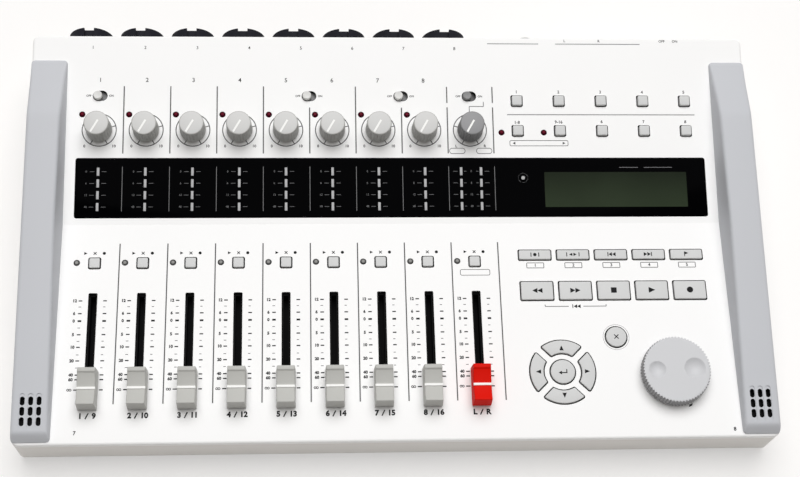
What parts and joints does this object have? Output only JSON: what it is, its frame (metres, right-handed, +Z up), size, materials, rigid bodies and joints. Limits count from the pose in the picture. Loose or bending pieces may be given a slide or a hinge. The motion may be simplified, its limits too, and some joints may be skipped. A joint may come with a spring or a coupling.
{
  "type": "digital multitrack recorder",
  "caption": "Table-top digital multitrack recorder with channel faders, gain knobs, transport keys, a jog wheel and a display strip between grey side rails.",
  "frame": {"origin": "centre of the footprint's bounding box on the table, under the feet", "axes": "+X to the right as the user faces it, +Y to the rear, +Z up"},
  "size_m": [0.375, 0.2214, 0.0496],
  "materials": {
    "panel_white": "fine satin moulded plastic",
    "rail_grey": "fine textured moulded plastic",
    "case_grey": "fine textured moulded plastic",
    "window_black": "polished acrylic, printed black behind",
    "lcd_glass": "liquid crystal glass in a frame",
    "lamp_plastic": "dark red clear plastic",
    "circuit_board": "green solder mask over glass laminate",
    "plated_steel": "plated sheet steel",
    "dark_plastic": "moulded component housing",
    "black_plastic": "moulded black plastic",
    "foot_rubber": "soft rubber",
    "cap_grey": "satin moulded plastic",
    "cap_red": "satin moulded red plastic",
    "knob_grey": "satin moulded plastic with a ribbed skirt",
    "knob_dark": "satin moulded plastic with a ribbed skirt",
    "key_grey": "satin moulded plastic"
  },
  "bodies": {
    "case": {"bottom_cover": "case_grey", "top_cover": "panel_white", "left_rail": "rail_grey", "right_rail": "rail_grey", "display_window": "window_black", "lcd_module": "lcd_glass", "panel_leds": "lamp_plastic", "fader_board": "circuit_board", "upper_board": "circuit_board", "main_board": "circuit_board", "jack_board": "circuit_board", "fader_tracks": "plated_steel", "rotary_pots": "dark_plastic", "panel_switches": "dark_plastic", "jog_encoder": "plated_steel", "combo_jacks": "black_plastic", "phone_jacks": "black_plastic", "dc_inlet": "black_plastic", "usb_sockets": "plated_steel", "card_socket": "plated_steel", "mic_capsules": "plated_steel", "rubber_feet": "foot_rubber", "case_screws": "plated_steel"},
    "fader_1": {"fader_1": "cap_grey"},
    "fader_2": {"fader_2": "cap_grey"},
    "fader_3": {"fader_3": "cap_grey"},
    "fader_4": {"fader_4": "cap_grey"},
    "fader_5": {"fader_5": "cap_grey"},
    "fader_6": {"fader_6": "cap_grey"},
    "fader_7": {"fader_7": "cap_grey"},
    "fader_8": {"fader_8": "cap_grey"},
    "master_fader": {"master_fader": "cap_red"},
    "gain_knob_1": {"gain_knob_1": "knob_grey"},
    "gain_knob_2": {"gain_knob_2": "knob_grey"},
    "gain_knob_3": {"gain_knob_3": "knob_grey"},
    "gain_knob_4": {"gain_knob_4": "knob_grey"},
    "gain_knob_5": {"gain_knob_5": "knob_grey"},
    "gain_knob_6": {"gain_knob_6": "knob_grey"},
    "gain_knob_7": {"gain_knob_7": "knob_grey"},
    "gain_knob_8": {"gain_knob_8": "knob_grey"},
    "balance_knob": {"balance_knob": "knob_dark"},
    "jog_wheel": {"jog_wheel": "key_grey"},
    "hi_z_switch": {"hi_z_switch": "key_grey"},
    "phantom_switch": {"phantom_switch": "key_grey"},
    "mic_switch": {"mic_switch": "key_grey"},
    "metronome_switch": {"metronome_switch": "knob_dark"},
    "power_switch": {"power_switch": "black_plastic"},
    "phones_knob": {"phones_knob": "knob_dark"},
    "battery_door": {"battery_door": "case_grey"},
    "rewind_key": {"rewind_key": "key_grey"},
    "forward_key": {"forward_key": "key_grey"},
    "stop_key": {"stop_key": "key_grey"},
    "play_key": {"play_key": "key_grey"},
    "record_key": {"record_key": "key_grey"},
    "enter_key": {"enter_key": "key_grey"},
    "exit_key": {"exit_key": "key_grey"},
    "cursor_keys": {"cursor_keys": "key_grey"},
    "function_keys": {"function_keys": "key_grey"},
    "track_keys": {"track_keys": "key_grey"},
    "menu_keys": {"menu_keys": "key_grey"}
  },
  "joints": [
    {"name": "fader_1_slide", "type": "slide", "parent": "case", "child": "fader_1", "axis": [0, 1, 0], "range_m": [0, 0.045]},
    {"name": "fader_2_slide", "type": "slide", "parent": "case", "child": "fader_2", "axis": [0, 1, 0], "range_m": [0, 0.045]},
    {"name": "fader_3_slide", "type": "slide", "parent": "case", "child": "fader_3", "axis": [0, 1, 0], "range_m": [0, 0.045]},
    {"name": "fader_4_slide", "type": "slide", "parent": "case", "child": "fader_4", "axis": [0, 1, 0], "range_m": [0, 0.045]},
    {"name": "fader_5_slide", "type": "slide", "parent": "case", "child": "fader_5", "axis": [0, 1, 0], "range_m": [0, 0.045]},
    {"name": "fader_6_slide", "type": "slide", "parent": "case", "child": "fader_6", "axis": [0, 1, 0], "range_m": [0, 0.045]},
    {"name": "fader_7_slide", "type": "slide", "parent": "case", "child": "fader_7", "axis": [0, 1, 0], "range_m": [0, 0.045]},
    {"name": "fader_8_slide", "type": "slide", "parent": "case", "child": "fader_8", "axis": [0, 1, 0], "range_m": [0, 0.045]},
    {"name": "master_fader_slide", "type": "slide", "parent": "case", "child": "master_fader", "axis": [0, 1, 0], "range_m": [0, 0.045]},
    {"name": "gain_knob_1_turn", "type": "hinge", "parent": "case", "child": "gain_knob_1", "pos_m": [-0.152, 0.05351, 0.03587], "axis": [0, 0.1564, -0.9877], "range_deg": [0, 300]},
    {"name": "gain_knob_2_turn", "type": "hinge", "parent": "case", "child": "gain_knob_2", "pos_m": [-0.128, 0.05351, 0.03587], "axis": [0, 0.1564, -0.9877], "range_deg": [0, 300]},
    {"name": "gain_knob_3_turn", "type": "hinge", "parent": "case", "child": "gain_knob_3", "pos_m": [-0.104, 0.05351, 0.03587], "axis": [0, 0.1564, -0.9877], "range_deg": [0, 300]},
    {"name": "gain_knob_4_turn", "type": "hinge", "parent": "case", "child": "gain_knob_4", "pos_m": [-0.08, 0.05351, 0.03587], "axis": [0, 0.1564, -0.9877], "range_deg": [0, 300]},
    {"name": "gain_knob_5_turn", "type": "hinge", "parent": "case", "child": "gain_knob_5", "pos_m": [-0.056, 0.05351, 0.03587], "axis": [0, 0.1564, -0.9877], "range_deg": [0, 300]},
    {"name": "gain_knob_6_turn", "type": "hinge", "parent": "case", "child": "gain_knob_6", "pos_m": [-0.032, 0.05351, 0.03587], "axis": [0, 0.1564, -0.9877], "range_deg": [0, 300]},
    {"name": "gain_knob_7_turn", "type": "hinge", "parent": "case", "child": "gain_knob_7", "pos_m": [-0.008, 0.05351, 0.03587], "axis": [0, 0.1564, -0.9877], "range_deg": [0, 300]},
    {"name": "gain_knob_8_turn", "type": "hinge", "parent": "case", "child": "gain_knob_8", "pos_m": [0.016, 0.05351, 0.03587], "axis": [0, 0.1564, -0.9877], "range_deg": [0, 300]},
    {"name": "balance_knob_turn", "type": "hinge", "parent": "case", "child": "balance_knob", "pos_m": [0.04, 0.05351, 0.03587], "axis": [0, 0.1564, -0.9877], "range_deg": [0, 300]},
    {"name": "jog_wheel_turn", "type": "hinge", "parent": "case", "child": "jog_wheel", "pos_m": [0.1373, -0.07777, 0.028], "axis": [0, 0, 1], "continuous": true},
    {"name": "hi_z_switch_slide", "type": "slide", "parent": "case", "child": "hi_z_switch", "axis": [1, 0, 0], "range_m": [0, 0.0022]},
    {"name": "phantom_switch_slide", "type": "slide", "parent": "case", "child": "phantom_switch", "axis": [1, 0, 0], "range_m": [0, 0.0022]},
    {"name": "mic_switch_slide", "type": "slide", "parent": "case", "child": "mic_switch", "axis": [1, 0, 0], "range_m": [0, 0.0022]},
    {"name": "metronome_switch_slide", "type": "slide", "parent": "case", "child": "metronome_switch", "axis": [1, 0, 0], "range_m": [0, 0.0022]},
    {"name": "power_switch_slide", "type": "slide", "parent": "case", "child": "power_switch", "axis": [1, 0, 0], "range_m": [0, 0.004]},
    {"name": "phones_knob_turn", "type": "hinge", "parent": "case", "child": "phones_knob", "pos_m": [0.0725, 0.10437, 0.0285], "axis": [0, -1, 0], "range_deg": [0, 300]},
    {"name": "battery_door_lift", "type": "slide", "parent": "case", "child": "battery_door", "axis": [0, 0, -1], "range_m": [0, 0.02]},
    {"name": "rewind_key_press", "type": "slide", "parent": "case", "child": "rewind_key", "axis": [0, 0, -1], "range_m": [0, 0.0008], "stiffness_N_per_m": 1500, "springref_m": -0.0003},
    {"name": "forward_key_press", "type": "slide", "parent": "case", "child": "forward_key", "axis": [0, 0, -1], "range_m": [0, 0.0008], "stiffness_N_per_m": 1500, "springref_m": -0.0003},
    {"name": "stop_key_press", "type": "slide", "parent": "case", "child": "stop_key", "axis": [0, 0, -1], "range_m": [0, 0.0008], "stiffness_N_per_m": 1500, "springref_m": -0.0003},
    {"name": "play_key_press", "type": "slide", "parent": "case", "child": "play_key", "axis": [0, 0, -1], "range_m": [0, 0.0008], "stiffness_N_per_m": 1500, "springref_m": -0.0003},
    {"name": "record_key_press", "type": "slide", "parent": "case", "child": "record_key", "axis": [0, 0, -1], "range_m": [0, 0.0008], "stiffness_N_per_m": 1500, "springref_m": -0.0003},
    {"name": "enter_key_press", "type": "slide", "parent": "case", "child": "enter_key", "axis": [0, 0, -1], "range_m": [0, 0.0008], "stiffness_N_per_m": 1500, "springref_m": -0.0003},
    {"name": "exit_key_press", "type": "slide", "parent": "case", "child": "exit_key", "axis": [0, 0, -1], "range_m": [0, 0.0008], "stiffness_N_per_m": 1500, "springref_m": -0.0003},
    {"name": "cursor_keys_press", "type": "slide", "parent": "case", "child": "cursor_keys", "axis": [0, 0, -1], "range_m": [0, 0.0008], "stiffness_N_per_m": 1500, "springref_m": -0.0003},
    {"name": "function_keys_press", "type": "slide", "parent": "case", "child": "function_keys", "axis": [0, 0, -1], "range_m": [0, 0.0008], "stiffness_N_per_m": 1500, "springref_m": -0.0003},
    {"name": "track_keys_press", "type": "slide", "parent": "case", "child": "track_keys", "axis": [0, 0, -1], "range_m": [0, 0.0008], "stiffness_N_per_m": 1500, "springref_m": -0.0003},
    {"name": "menu_keys_press", "type": "slide", "parent": "case", "child": "menu_keys", "axis": [0, 0.1564, -0.9877], "range_m": [0, 0.0008], "stiffness_N_per_m": 1500, "springref_m": -0.0003}
  ]
}
